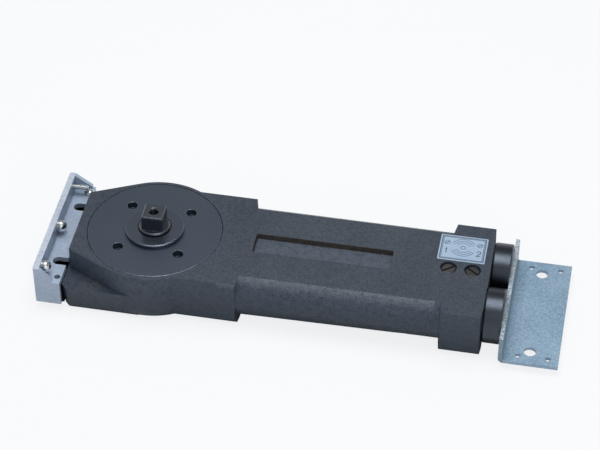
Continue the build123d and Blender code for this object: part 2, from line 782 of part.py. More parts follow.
with BuildPart() as adjusting_screw:
    with BuildSketch(Plane.YZ.offset(tray_start_x)):
        with Locations((pan_y, pan_h)):
            Circle(adjuster_d / 2)
    extrude(amount=tray_wall + adjuster_reach)
    chamfer(adjusting_screw.edges().group_by(Axis.X)[-1], adjuster_slot_w / 2)
    with BuildSketch(Plane.YZ.offset(tray_start_x)):
        with Locations((pan_y, pan_h)):
            Rectangle(adjuster_d, adjuster_slot_w)
    extrude(amount=adjuster_slot_depth, mode=Mode.SUBTRACT)
finish(adjusting_screw.part, "adjusting_screw")

floor_face = Plane((tray_hole_x, tray_hole_y, tray_floor))
height_shank_d = tray_hole_d - 2 * fit_gap
finish(pan_screw(floor_face, height_head_d, height_head_t, height_shank_d, height_shank_len), "height_screw")

# Angle behind the caps
with BuildPart() as cap_end_bracket:
    with BuildSketch(Plane.XZ.offset(-angle_w / 2)):
        with BuildLine():
            Polyline((cap_end_x, angle_top), (cap_end_x, angle_base), (angle_end_x, angle_base),
                     (angle_end_x, angle_base + angle_t), (cap_end_x + angle_t, angle_base + angle_t),
                     (cap_end_x + angle_t, angle_top), close=True)
        make_face()
    extrude(amount=angle_w)
    bends = cap_end_bracket.edges().filter_by(Axis.Y)
    outer_bend = bends.sort_by_distance((cap_end_x, 0, angle_base))[0]
    inner_bend = bends.sort_by_distance((cap_end_x + angle_t, 0, angle_base + angle_t))[0]
    fillet(outer_bend, angle_bend_r)
    fillet(inner_bend, angle_bend_r - angle_t)
    with BuildSketch(Plane.XY.offset(angle_base)):
        with Locations((angle_hole_x, -angle_hole_y), (angle_hole_x, angle_hole_y)):
            Circle(angle_hole_d / 2)
        with Locations((small_hole_start_x, -small_hole_y), (small_hole_start_x, small_hole_y),
                       (small_hole_end_x, -small_hole_y), (small_hole_end_x, small_hole_y)):
            Circle(small_hole_d / 2)
    extrude(amount=angle_t, mode=Mode.SUBTRACT)
    outer_face = Plane((cap_end_x + angle_t, 0, axis_h), x_dir=(0, 1, 0), z_dir=(1, 0, 0))
    with Locations(outer_face):
        with Locations((-barrel_y, 0), (barrel_y, 0)):
            CounterSinkHole(flat_shank_d / 2 + flat_hole_gap, flat_head_d / 2 + flat_hole_gap, depth=angle_t)
finish(cap_end_bracket.part, "cap_end_bracket")

flat_head_t = (flat_head_d - flat_shank_d) / 2
with BuildPart() as cap_bracket_screws:
    for y in (-barrel_y, barrel_y):
        with BuildSketch(Plane((cap_end_x + angle_t, y, axis_h))):
            with BuildLine():
                Polyline((0, 0), (0, flat_head_d / 2), (-flat_head_t, flat_shank_d / 2),
                         (-flat_shank_len, flat_shank_d / 2), (-flat_shank_len, 0), close=True)
            make_face()
        revolve(axis=Axis((0, y, axis_h), (1, 0, 0)))
finish(cap_bracket_screws.part, "cap_bracket_screws")
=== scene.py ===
"""Looks of a floor spring door closer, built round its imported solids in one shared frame."""

import logging
import math
from dataclasses import dataclass, field
from enum import Enum

import bpy
from mathutils import Matrix, Vector


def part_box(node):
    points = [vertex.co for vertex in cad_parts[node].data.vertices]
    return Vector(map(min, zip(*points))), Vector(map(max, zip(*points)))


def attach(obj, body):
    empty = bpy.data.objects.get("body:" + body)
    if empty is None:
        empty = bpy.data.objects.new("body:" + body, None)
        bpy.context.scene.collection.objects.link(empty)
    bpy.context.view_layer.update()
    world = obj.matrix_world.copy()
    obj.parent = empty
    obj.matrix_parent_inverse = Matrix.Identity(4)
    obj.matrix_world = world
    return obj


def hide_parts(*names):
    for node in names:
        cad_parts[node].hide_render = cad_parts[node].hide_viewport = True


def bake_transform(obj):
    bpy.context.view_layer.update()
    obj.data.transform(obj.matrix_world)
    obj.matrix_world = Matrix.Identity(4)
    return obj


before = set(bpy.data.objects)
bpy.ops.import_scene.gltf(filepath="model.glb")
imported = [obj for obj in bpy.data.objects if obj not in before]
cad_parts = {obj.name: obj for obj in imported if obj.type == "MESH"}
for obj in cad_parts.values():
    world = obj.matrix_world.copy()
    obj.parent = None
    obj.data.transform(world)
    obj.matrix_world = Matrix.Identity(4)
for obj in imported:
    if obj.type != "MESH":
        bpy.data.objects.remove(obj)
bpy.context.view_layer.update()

log = logging.getLogger("floor_spring")

Colour = tuple[float, float, float]
Point = tuple[float, float, float]
Spot = tuple[float, float]
Socket = bpy.types.NodeSocket
Feed = Socket | float | Colour | Point
Sockets = bpy.types.bpy_prop_collection

MM = 0.001
BEVEL_SAMPLES = 4
BARREL_OFFSET = 21.0 * MM
BARREL_HEIGHT = 20.25 * MM


class Axis(Enum):
    """Direction in the part's frame that a pattern of rings turns about."""

    X = 0
    Y = 1
    Z = 2


class Graph:
    """A shader node tree that is filled one node at a time."""

    def __init__(self, tree: bpy.types.NodeTree) -> None:
        """Keeps the tree that the nodes go into.

        Args:
            tree: Node tree of a material or of a node group.
        """
        self.tree = tree

    def node(self, kind: str, feeds: dict[str | int, Feed] | None = None,
             **settings: object) -> bpy.types.Node:
        """Adds a node, sets its properties and feeds its inputs.

        Args:
            kind: Node type without its common prefix.
            feeds: Value or socket for each input, by name or index.
            settings: Properties of the node.

        Returns:
            The new node.
        """
        made = self.tree.nodes.new("ShaderNode" + kind)
        for name, value in settings.items():
            setattr(made, name, value)
        for name, value in (feeds or {}).items():
            self.feed(made.inputs[name], value)
        return made

    def feed(self, socket: Socket, value: Feed) -> None:
        """Links a socket to an input, or writes a plain value on it.

        Args:
            socket: Input to fill.
            value: Output socket, number, point or colour.
        """
        if isinstance(value, Socket):
            self.tree.links.new(value, socket)
        elif socket.type == "RGBA":
            socket.default_value = (*value, 1.0)
        else:
            socket.default_value = value

    def math(self, operation: str, first: Feed, second: Feed = 0.0,
             clamp: bool = False) -> Socket:
        """Joins two numbers.

        Args:
            operation: Name of the sum.
            first: First number.
            second: Second number.
            clamp: Whether the result stays between 0 and 1.

        Returns:
            The result.
        """
        return self.node("Math", {0: first, 1: second}, operation=operation, use_clamp=clamp).outputs[0]

    def fit(self, value: Feed, low: float, high: float, out_low: Feed = 0.0,
            out_high: Feed = 1.0) -> Socket:
        """Maps a range of numbers on to another, held at its ends.

        Args:
            value: Number to map.
            low: Start of the range.
            high: End of the range.
            out_low: Result at the start.
            out_high: Result at the end.

        Returns:
            The mapped number.
        """
        feeds = {"Value": value, "From Min": low, "From Max": high, "To Min": out_low, "To Max": out_high}
        return self.node("MapRange", feeds).outputs["Result"]

    def blend(self, factor: Feed, first: Feed, second: Feed) -> Socket:
        """Mixes two colours.

        Args:
            factor: Share of the second colour.
            first: First colour.
            second: Second colour.

        Returns:
            The mixed colour.
        """
        feeds = {0: factor, 6: first, 7: second}
        return self.node("Mix", feeds, data_type="RGBA").outputs[2]

    def noise(self, place: Feed, scale: Feed, detail: float = 3.0,
              rough: float = 0.55) -> Socket:
        """Cloudy noise from 0 to 1.

        Args:
            place: Point on the surface.
            scale: Lumps in a metre.
            detail: Finer layers.
            rough: Weight of the finer layers.

        Returns:
            The noise value.
        """
        feeds = {"Vector": place, "Scale": scale, "Detail": detail, "Roughness": rough}
        return self.node("TexNoise", feeds).outputs[0]

    def place(self) -> Socket:
        """Point on the piece in the part's frame, in metres."""
        return self.node("TexCoord").outputs["Object"]

    def apart(self) -> Sockets:
        """The three coordinates of the point on the piece."""
        return self.node("SeparateXYZ", {0: self.place()}).outputs

    def product(self, *parts: Feed) -> Socket:
        """Multiplies numbers.

        Args:
            parts: Two numbers or more.

        Returns:
            Their product.
        """
        total = parts[0]
        for part in parts[1:]:
            total = self.math("MULTIPLY", total, part)
        return total

    def between(self, value: Feed, low: float, high: float) -> Socket:
        """Mask that is 1 inside a range.

        Args:
            value: Number to test.
            low: Lower end of the range.
            high: Upper end.

        Returns:
            The mask.
        """
        return self.product(self.math("GREATER_THAN", value, low), self.math("LESS_THAN", value, high))


class Effects:
    """Surface effects that several finishes share, each one a node group that is built once."""

    def __init__(self) -> None:
        """Starts with no group built."""
        self.built: dict[str, bpy.types.NodeTree] = {}

    def group(self, name: str, inputs: dict[str, float],
              outputs: tuple[str, ...]) -> tuple[Graph, Sockets, Sockets]:
        """Opens a new group with named sockets.

        Args:
            name: Name of the group.
            inputs: Default number of each input.
            outputs: Names of the outputs; the one called Normal is a vector, the others are numbers.

        Returns:
            The graph to fill, what it is given and what it puts out.
        """
        tree = bpy.data.node_groups.new(name, "ShaderNodeTree")
        for label, value in inputs.items():
            socket = tree.interface.new_socket(name=label, in_out="INPUT", socket_type="NodeSocketFloat")
            socket.default_value = value
        for label in outputs:
            kind = "NodeSocketVector" if label == "Normal" else "NodeSocketFloat"
            tree.interface.new_socket(name=label, in_out="OUTPUT", socket_type=kind)
        self.built[name] = tree
        return Graph(tree), tree.nodes.new("NodeGroupInput").outputs, tree.nodes.new("NodeGroupOutput").inputs

    def put(self, graph: Graph, name: str, **feeds: Feed) -> Sockets:
        """Places an effect in a material.

        Args:
            graph: Material's graph.
            name: Name of the effect, which is also the method that builds it.
            feeds: Value of each input, with underscores for spaces.

        Returns:
            The outputs of the group.
        """
        if name not in self.built:
            getattr(self, name)()
        made = graph.tree.nodes.new("ShaderNodeGroup")
        made.node_tree = self.built[name]
        for label, value in feeds.items():
            graph.feed(made.inputs[label.replace("_", " ").title()], value)
        return made.outputs

    def edge_wear_and_highlight(self) -> None:
        """Mask that is 1 on outer edges, broken up by noise: edge wear and a painted edge highlight."""
        inputs = {"Radius": 0.4 * MM, "Reach": 0.2, "Breaks": 300.0}
        whole, wear_and_sheen = 0.35, 0.62
        graph, given, out = self.group("edge_wear_and_highlight", inputs, ("Mask",))
        rounded = graph.node("Bevel", {"Radius": given["Radius"]}, samples=BEVEL_SAMPLES).outputs[0]
        flat = graph.node("NewGeometry").outputs["Normal"]
        turn = graph.node("VectorMath", {0: rounded, 1: flat}, operation="DOT_PRODUCT").outputs["Value"]
        lean = graph.math("DIVIDE", graph.math("SUBTRACT", 1.0, turn), given["Reach"])
        patches = graph.fit(graph.noise(graph.place(), given["Breaks"]), whole, wear_and_sheen)
        graph.feed(out["Mask"], graph.math("MULTIPLY", patches, lean, clamp=True))

    def soft_edge(self) -> None:
        """Normal that rounds sharp edges over a small radius."""
        graph, given, out = self.group("soft_edge", {"Radius": 0.3 * MM}, ("Normal",))
        rounded = graph.node("Bevel", {"Radius": given["Radius"]}, samples=BEVEL_SAMPLES).outputs[0]
        graph.feed(out["Normal"], rounded)

    def cast_skin(self) -> None:
        """Relief and tone of a sand-cast skin."""
        lump_ratio, pit_ratio, pit_reach = 0.23, 0.6, 0.35
        grain_share, pit_shade = 0.7, 0.4
        dark, light = 0.33, 0.62
        graph, given, out = self.group("cast_skin", {"Scale": 900.0, "Pits": 0.3}, ("Height", "Tone"))
        place = graph.place()
        grains = graph.noise(place, given["Scale"], 4.0, 0.65)
        lumps = graph.noise(place, graph.product(given["Scale"], lump_ratio), 2.0)
        cells = graph.node("TexVoronoi", {"Vector": place, "Scale": graph.product(given["Scale"], pit_ratio)})
        pits = graph.fit(cells.outputs["Distance"], 0.0, pit_reach, given["Pits"], 0.0)
        grains = graph.product(grains, grain_share)
        skin = graph.math("ADD", grains, graph.product(lumps, 1.0 - grain_share))
        graph.feed(out["Height"], graph.math("SUBTRACT", skin, pits))
        shade = graph.math("SUBTRACT", skin, graph.product(pits, pit_shade))
        graph.feed(out["Tone"], graph.fit(shade, dark, light))

    def tone_drift(self) -> None:
        """Slow change of tone over a surface, with finer mottling."""
        dark, light = 0.35, 0.65
        inputs = {"Scale": 18.0, "Fineness": 22.0, "Mottle": 0.3}
        graph, given, out = self.group("tone_drift", inputs, ("Tone",))
        place = graph.place()
        slow = graph.noise(place, given["Scale"], 2.0)
        fine = graph.noise(place, graph.product(given["Scale"], given["Fineness"]), 4.0, 0.65)
        mixed = graph.node("Mix", {0: given["Mottle"], 2: slow, 3: fine}).outputs[0]
        graph.feed(out["Tone"], graph.fit(mixed, dark, light))

    def rust_bloom(self) -> None:
        """Mask of sparse brown specks that gather in patches."""
        patch_ratio = 0.04
        clean_speck, full_speck = 0.52, 0.66
        clean_patch, full_patch = 0.5, 0.7
        graph, given, out = self.group("rust_bloom", {"Scale": 700.0, "Share": 0.18}, ("Mask",))
        place = graph.place()
        specks = graph.fit(graph.noise(place, given["Scale"], 3.0, 0.7), clean_speck, full_speck)
        spread = graph.product(given["Scale"], patch_ratio)
        patches = graph.fit(graph.noise(place, spread, 2.0), clean_patch, full_patch)
        graph.feed(out["Mask"], graph.product(specks, patches, given["Share"]))

    def turned_rings(self) -> None:
        """Fine rings left by a lathe about an axis through a given centre."""
        inputs = {"Centre X": 0.0, "Centre Y": 0.0, "Centre Z": 0.0, "Use X": 1.0, "Use Y": 1.0, "Use Z": 0.0}
        graph, given, out = self.group("turned_rings", inputs | {"Pitch": 0.35 * MM}, ("Height",))
        centre = graph.node("CombineXYZ", {i: given[i] for i in range(3)}).outputs[0]
        keep = graph.node("CombineXYZ", {i: given[i + 3] for i in range(3)}).outputs[0]
        arm = graph.node("VectorMath", {0: graph.place(), 1: centre}, operation="SUBTRACT").outputs[0]
        arm = graph.node("VectorMath", {0: arm, 1: keep}, operation="MULTIPLY").outputs[0]
        length = graph.node("VectorMath", {0: arm}, operation="LENGTH").outputs["Value"]
        line = graph.node("CombineXYZ", {0: graph.math("DIVIDE", length, given["Pitch"])}).outputs[0]
        graph.feed(out["Height"], graph.noise(line, 1.0, 3.0, 0.7))

    def zinc_spangle(self) -> None:
        """Crystal patches of a zinc coat, with dark pinholes."""
        cloud_ratio, cloud_share = 1.7, 0.6
        dark_cloud, light_cloud = 0.3, 0.7
        hole_ratio = 1.3
        hole_rim, hole_floor = 0.6, 0.7
        inputs = {"Scale": 400.0, "Pinholes": 0.3}
        graph, given, out = self.group("zinc_spangle", inputs, ("Tone", "Height"))
        place = graph.place()
        cells = graph.node("TexVoronoi", {"Vector": place, "Scale": given["Scale"]})
        crystal = graph.node("SeparateColor", {0: cells.outputs["Color"]}).outputs[0]
        clouds = graph.noise(place, graph.product(given["Scale"], cloud_ratio), 4.0, 0.7)
        holes = graph.noise(place, graph.product(given["Scale"], hole_ratio), 2.0)
        holes = graph.fit(holes, hole_rim, hole_floor, 0.0, given["Pinholes"])
        cloudy = graph.fit(clouds, dark_cloud, light_cloud)
        coat = graph.node("Mix", {0: cloud_share, 2: crystal, 3: cloudy}).outputs[0]
        graph.feed(out["Tone"], graph.math("SUBTRACT", coat, holes, clamp=True))
        graph.feed(out["Height"], graph.math("SUBTRACT", clouds, holes))


EFFECTS = Effects()


@dataclass(frozen=True)
class Finish:
    """Values that every finish has."""

    name: str
    base: Colour
    pale: Colour
    roughness: float = 0.45
    rough_swing: float = 0.05
    metallic: float = 0.0
    specular: float = 0.5
    # Edge fields: edge wear and a painted highlight along outer edges, in edge_colour.
    edge_radius: float = 0.35 * MM
    edge_colour: Colour = (0.2, 0.22, 0.25)
    edge_amount: float = 0.5
    edge_breaks: float = 300.0
    relief: float = 0.01 * MM

    def tone(self, graph: Graph) -> Socket:
        """Share of the pale colour over the surface."""
        return EFFECTS.put(graph, "tone_drift")["Tone"]

    def colour(self, graph: Graph, tone: Socket) -> Socket:
        """Colour of the surface away from its edges.

        Args:
            graph: Material's graph.
            tone: Share of the pale colour.

        Returns:
            The colour.
        """
        return graph.blend(tone, self.base, self.pale)

    def height(self, graph: Graph) -> Socket | None:
        """Relief of the surface, or nothing for a smooth one."""
        return EFFECTS.put(graph, "tone_drift", scale=90.0)["Tone"]

    def material(self) -> bpy.types.Material:
        """Builds the finish's material.

        Returns:
            The material.
        """
        made = bpy.data.materials.new(self.name)
        made.use_nodes = True
        made.node_tree.nodes.clear()
        graph = Graph(made.node_tree)
        fixed = {"Metallic": self.metallic, "Specular IOR Level": self.specular}
        shader = graph.node("BsdfPrincipled", fixed)
        tone = self.tone(graph)
        wear_and_sheen = EFFECTS.put(graph, "edge_wear_and_highlight", radius=self.edge_radius, breaks=self.edge_breaks)["Mask"]
        wear_and_sheen = graph.product(wear_and_sheen, self.edge_amount)
        # Edge wear and painted edge highlight: outer edges blend to edge_colour.
        colour = graph.blend(wear_and_sheen, self.colour(graph, tone), self.edge_colour)
        graph.feed(shader.inputs["Base Color"], colour)
        swing = self.rough_swing
        rough = graph.fit(tone, 0.0, 1.0, self.roughness + swing, self.roughness - swing)
        graph.feed(shader.inputs["Roughness"], rough)
        normal = EFFECTS.put(graph, "soft_edge", radius=self.edge_radius)["Normal"]
        height = self.height(graph)
        if height is not None:
            feeds = {"Strength": 1.0, "Distance": self.relief, "Height": height, "Normal": normal}
            normal = graph.node("Bump", feeds).outputs[0]
        graph.feed(shader.inputs["Normal"], normal)
        graph.node("OutputMaterial", {"Surface": shader.outputs[0]})
        return made


@dataclass(frozen=True)
class CastIronFinish(Finish):
    """Iron shell: sand-cast skin with brown specks, and a milled flat top round a cast recess."""

    top_base: Colour = (0.019, 0.028, 0.041)
    top_pale: Colour = (0.056, 0.072, 0.097)
    rust: Colour = (0.085, 0.055, 0.042)
    top_height: float = 37.1 * MM
    recess_height: float = 33.25 * MM
    recess_half_w: float = 8.65 * MM
    recess_ends: Spot = (66.2 * MM, 156.7 * MM)
    recess_reach: float = 0.15 * MM
    recess_lift: float = 0.8
    recess_contrast: float = 1.6
    recess_pale: Colour = (0.082, 0.103, 0.134)
    # Painted shade on the recess walls, from dark to a little lighter by tone.
    recess_wall_shade: Colour = (0.018, 0.016, 0.015)
    recess_wall_shade_light: Colour = (0.060, 0.051, 0.045)
    grit: Colour = (0.135, 0.105, 0.090)
    ledge_height: float = 19.75 * MM
    ledge_reach: float = 0.4 * MM
    # Painted highlight band below the barrels' flat top: its colour and extent.
    wear_and_sheen: Colour = (0.17, 0.19, 0.22)
    band_highlight_ends: Spot = (50.0 * MM, 189.0 * MM)
    band_highlight_side: float = 20.0 * MM
    band_highlight_rise: Spot = (32.5 * MM, 37.0 * MM)
    band_highlight_share: float = 0.6
    band_highlight_tones: Spot = (0.1, 0.9)
    band_highlight_least: float = 0.3
    # Painted shade towards the base: full at the floor, gone at shade_height.
    base_shade: float = 0.85
    shade_height: float = 34.0 * MM
    cast_scale: float = 1250.0
    top_relief: float = 0.12

    def milled(self, graph: Graph) -> Socket:
        """Mask of the milled top."""
        return graph.math("GREATER_THAN", graph.apart()[2], self.top_height)

    def recess(self, graph: Graph) -> dict[str, Socket]:
        """Masks of the recess's floor and walls.

        Args:
            graph: Material's graph.

        Returns:
            The two masks.
        """
        apart = graph.apart()
        narrow = graph.math("LESS_THAN", graph.math("ABSOLUTE", apart[1]), self.recess_half_w)
        inside = graph.product(narrow, graph.between(apart[0], *self.recess_ends))
        rise = graph.math("SUBTRACT", apart[2], self.recess_height)
        floor = graph.math("LESS_THAN", graph.math("ABSOLUTE", rise), self.recess_reach)
        wall = graph.math("GREATER_THAN", rise, self.recess_reach)
        return {"Floor": graph.product(inside, floor), "Wall": graph.product(inside, wall)}

    def gritty(self, graph: Graph, height: Socket) -> Socket:
        """Mask of the brown grit that has settled on the head's ledge.

        Args:
            graph: Material's graph.
            height: Height above the base.

        Returns:
            The mask.
        """
        above = graph.math("ABSOLUTE", graph.math("SUBTRACT", height, self.ledge_height))
        ledge = graph.math("LESS_THAN", above, self.ledge_reach)
        grains = EFFECTS.put(graph, "rust_bloom", scale=1100.0, share=1.3)["Mask"]
        return graph.math("MULTIPLY", ledge, grains, clamp=True)

    def painted_band_highlight(self, graph: Graph, tone: Socket) -> Socket:
        """Mask of a painted highlight band on the barrels' tops, brightest where the grains are pale.

        Args:
            graph: Material's graph.
            tone: Share of the pale colour.

        Returns:
            The mask.
        """
        apart = graph.apart()
        along = graph.between(apart[0], *self.band_highlight_ends)
        up = graph.fit(apart[2], *self.band_highlight_rise, 0.0, self.band_highlight_share)
        side = graph.math("GREATER_THAN", graph.math("ABSOLUTE", apart[1]), self.band_highlight_side)
        bright = graph.fit(tone, *self.band_highlight_tones, self.band_highlight_least, 1.0)
        return graph.product(along, side, up, bright)

    def tone(self, graph: Graph) -> Socket:
        """Slow drift on the top, grainier on the cast skin.

        Args:
            graph: Material's graph.

        Returns:
            Share of the pale colour.
        """
        cast = EFFECTS.put(graph, "cast_skin", scale=self.cast_scale)["Tone"]
        drift = EFFECTS.put(graph, "tone_drift", scale=22.0, fineness=36.0, mottle=0.8)["Tone"]
        return graph.node("Mix", {0: self.milled(graph), 2: cast, 3: drift}).outputs[0]

    def colour(self, graph: Graph, tone: Socket) -> Socket:
        """Cast colours, browner in specks, with painted shade towards the base, a painted highlight band on
        the barrels, painted shade on the recess walls, and cleaner ones where it is milled.

        Args:
            graph: Material's graph.
            tone: Share of the pale colour.

        Returns:
            The colour.
        """
        rusty = EFFECTS.put(graph, "rust_bloom")["Mask"]
        cast = graph.blend(rusty, graph.blend(tone, self.base, self.pale), self.rust)
        height = graph.apart()[2]
        # Painted shade: the cast colour darkens towards the base.
        painted_base_shade = graph.fit(height, 0.0, self.shade_height, self.base_shade, 0.0)
        cast = graph.blend(painted_base_shade, cast, self.base)
        # Painted highlight: a pale band on the barrels' tops.
        cast = graph.blend(self.painted_band_highlight(graph, tone), cast, self.wear_and_sheen)
        cast = graph.blend(self.gritty(graph, height), cast, self.grit)
        light = graph.product(graph.fit(tone, 0.0, 1.0, 0.0, self.recess_contrast), self.recess_lift)
        recess = self.recess(graph)
        cast = graph.blend(graph.product(recess["Floor"], light), cast, self.recess_pale)
        milled = graph.blend(self.milled(graph), cast, graph.blend(tone, self.top_base, self.top_pale))
        # Painted shade: the recess walls are darkened.
        wall = graph.blend(tone, self.recess_wall_shade, self.recess_wall_shade_light)
        return graph.blend(recess["Wall"], milled, wall)

    def height(self, graph: Graph) -> Socket:
        """Cast grains on the sides and a fine even grain on the top.

        Args:
            graph: Material's graph.

        Returns:
            The relief.
        """
        cast = EFFECTS.put(graph, "cast_skin", scale=self.cast_scale, pits=0.5)["Height"]
        fine = EFFECTS.put(graph, "tone_drift", scale=60.0, mottle=0.9)["Tone"]
        flat = graph.product(fine, self.top_relief)
        return graph.node("Mix", {0: self.milled(graph), 2: cast, 3: flat}).outputs[0]


@dataclass(frozen=True)
class TurnedFinish(Finish):
    """Steel turned on a lathe, with rings about an axis."""

    centre: Point = (0.0, 0.0, 0.0)
    axis: Axis = Axis.Z
    pitch: float = 0.3 * MM

    def height(self, graph: Graph) -> Socket:
        """Fine rings about the turning axis.

        Args:
            graph: Material's graph.

        Returns:
            The relief.
        """
        keep = [0.0 if self.axis.value == i else 1.0 for i in range(3)]
        rings = EFFECTS.put(
            graph, "turned_rings", centre_x=self.centre[0], centre_y=self.centre[1], centre_z=self.centre[2],
            use_x=keep[0], use_y=keep[1], use_z=keep[2], pitch=self.pitch)
        return rings["Height"]


@dataclass(frozen=True)
class ZincFinish(Finish):
    """Sheet steel with a zinc coat, brighter on its upper cut edge."""

    spangle: float = 500.0
    cut_height: float = 25.55 * MM
    cut_base: Colour = (0.30, 0.34, 0.36)
    cut_pale: Colour = (0.80, 0.84, 0.86)
    cut_tones: Spot = (0.3, 0.6)
    cloud_share: float = 0.3
    relief_ratio: float = 1.6

    def tone(self, graph: Graph) -> Socket:
        """Crystal patches and clouds.

        Args:
            graph: Material's graph.

        Returns:
            Share of the pale colour.
        """
        patches = EFFECTS.put(graph, "zinc_spangle", scale=self.spangle)["Tone"]
        drift = EFFECTS.put(graph, "tone_drift", scale=24.0, mottle=0.4)["Tone"]
        return graph.node("Mix", {0: self.cloud_share, 2: patches, 3: drift}).outputs[0]

    def colour(self, graph: Graph, tone: Socket) -> Socket:
        """Coat's colours, and brighter, more broken ones where the sheet was cut.

        Args:
            graph: Material's graph.
            tone: Share of the pale colour.

        Returns:
            The colour.
        """
        cut = graph.math("GREATER_THAN", graph.apart()[2], self.cut_height)
        sharp = graph.fit(tone, *self.cut_tones)
        return graph.blend(cut, graph.blend(tone, self.base, self.pale),
                           graph.blend(sharp, self.cut_base, self.cut_pale))

    def height(self, graph: Graph) -> Socket:
        """Shallow relief of the crystals."""
        return EFFECTS.put(graph, "zinc_spangle", scale=self.spangle * self.relief_ratio)["Height"]


@dataclass(frozen=True)
class FoldedZincFinish(ZincFinish):
    """Zinc coat with painted shade on the upright wall, deepest along its fold."""

    wall_end: float = 235.2 * MM
    wall_fade: float = 1.2 * MM
    wall_foot: float = 7.6 * MM
    foot_rise: float = 6.0 * MM
    foot_shades: Spot = (1.2, 0.8)
    # Painted shade on the upright wall below its cut edge, deeper near the fold.
    wall_shade: float = 0.55
    painted_shade_colour: Colour = (0.11, 0.17, 0.21)

    def colour(self, graph: Graph, tone: Socket) -> Socket:
        """Coat's colours, with painted shade on the wall below its cut edge, deeper near the fold.

        Args:
            graph: Material's graph.
            tone: Share of the pale colour.

        Returns:
            The colour.
        """
        apart = graph.apart()
        # Painted shade on the upright wall, stronger at its foot by the fold.
        wall = graph.fit(apart[0], self.wall_end, self.wall_end + self.wall_fade, 1.0, 0.0)
        under = graph.math("LESS_THAN", apart[2], self.cut_height)
        foot = graph.fit(apart[2], self.wall_foot, self.wall_foot + self.foot_rise, *self.foot_shades)
        shade = graph.product(wall, under, foot, self.wall_shade)
        return graph.blend(shade, super().colour(graph, tone), self.painted_shade_colour)


@dataclass(frozen=True)
class TrayZincFinish(ZincFinish):
    """Zinc coat with painted shade on the inner side of the end wall and a little on the front wall."""

    # Painted shade on the end wall's inner side and on the front face.
    wall_low: Point = (-69.9 * MM, -46.0 * MM, 23.3 * MM)
    wall_high: Point = (-65.5 * MM, 46.0 * MM, 34.2 * MM)
    wall_shade: float = 0.6
    patchy_shade_tones: Spot = (0.2, 0.8)
    patchy_shade_strengths: Spot = (1.0, 0.7)
    front_face: float = -47.4 * MM
    front_shade: float = 0.25
    painted_shade_colour: Colour = (0.10, 0.14, 0.18)

    def colour(self, graph: Graph, tone: Socket) -> Socket:
        """Coat's colours, with uneven painted shade on the wall that faces the casting and on the front face.

        Args:
            graph: Material's graph.
            tone: Share of the pale colour.

        Returns:
            The colour.
        """
        apart = graph.apart()
        # Painted shade, uneven by tone, on the end wall's inner side, and painted shade on the front face.
        patchy_shade = graph.fit(tone, *self.patchy_shade_tones, *self.patchy_shade_strengths)
        inside = [graph.between(apart[i], self.wall_low[i], self.wall_high[i]) for i in range(3)]
        shade = graph.product(patchy_shade, *inside, self.wall_shade)
        front = graph.product(graph.math("LESS_THAN", apart[1], self.front_face), self.front_shade)
        shade = graph.math("ADD", shade, front)
        return graph.blend(shade, super().colour(graph, tone), self.painted_shade_colour)


@dataclass(frozen=True)
class SmoothFinish(Finish):
    """Plated, ground or moulded surface with no grain of its own."""

    def height(self, graph: Graph) -> Socket | None:
        """Leaves the surface smooth."""
        return None


SHELL_IRON = CastIronFinish(
    "shell_iron", (0.014, 0.024, 0.038), (0.062, 0.086, 0.122), roughness=0.42, specular=0.33,
    edge_radius=0.5 * MM, edge_colour=(0.13, 0.155, 0.19), edge_amount=0.4, relief=0.6 * MM)
COVER_IRON = TurnedFinish(
    "cover_iron", (0.066, 0.088, 0.120), (0.098, 0.122, 0.158), roughness=0.36, metallic=0.8,
    edge_radius=0.5 * MM, edge_colour=(0.42, 0.47, 0.54), edge_amount=0.9, relief=0.01 * MM)
COLLAR_STEEL = TurnedFinish(
    "collar_steel", (0.115, 0.14, 0.18), (0.155, 0.185, 0.235), roughness=0.26, metallic=1.0,
    edge_radius=0.6 * MM, edge_colour=(0.5, 0.54, 0.6), edge_amount=0.5, edge_breaks=80.0,
    relief=0.003 * MM)
SPINDLE_STEEL = SmoothFinish(
    "spindle_steel", (0.105, 0.12, 0.145), (0.14, 0.155, 0.185), roughness=0.28, metallic=1.0,
    edge_radius=0.3 * MM, edge_colour=(0.3, 0.33, 0.37), edge_amount=0.35, edge_breaks=60.0)
THREAD_STEEL = SmoothFinish(
    "thread_steel", (0.02, 0.021, 0.024), (0.035, 0.037, 0.04), roughness=0.35, metallic=1.0,
    edge_radius=0.05 * MM, edge_colour=(0.05, 0.052, 0.055), edge_amount=0.2)
FRONT_CAP_STEEL = TurnedFinish(
    "front_cap_steel", (0.049, 0.058, 0.072), (0.067, 0.077, 0.094), roughness=0.32, metallic=1.0,
    edge_radius=0.5 * MM, edge_colour=(0.12, 0.135, 0.155), edge_amount=0.5, relief=0.012 * MM,
    centre=(0.0, -BARREL_OFFSET, BARREL_HEIGHT), axis=Axis.X)
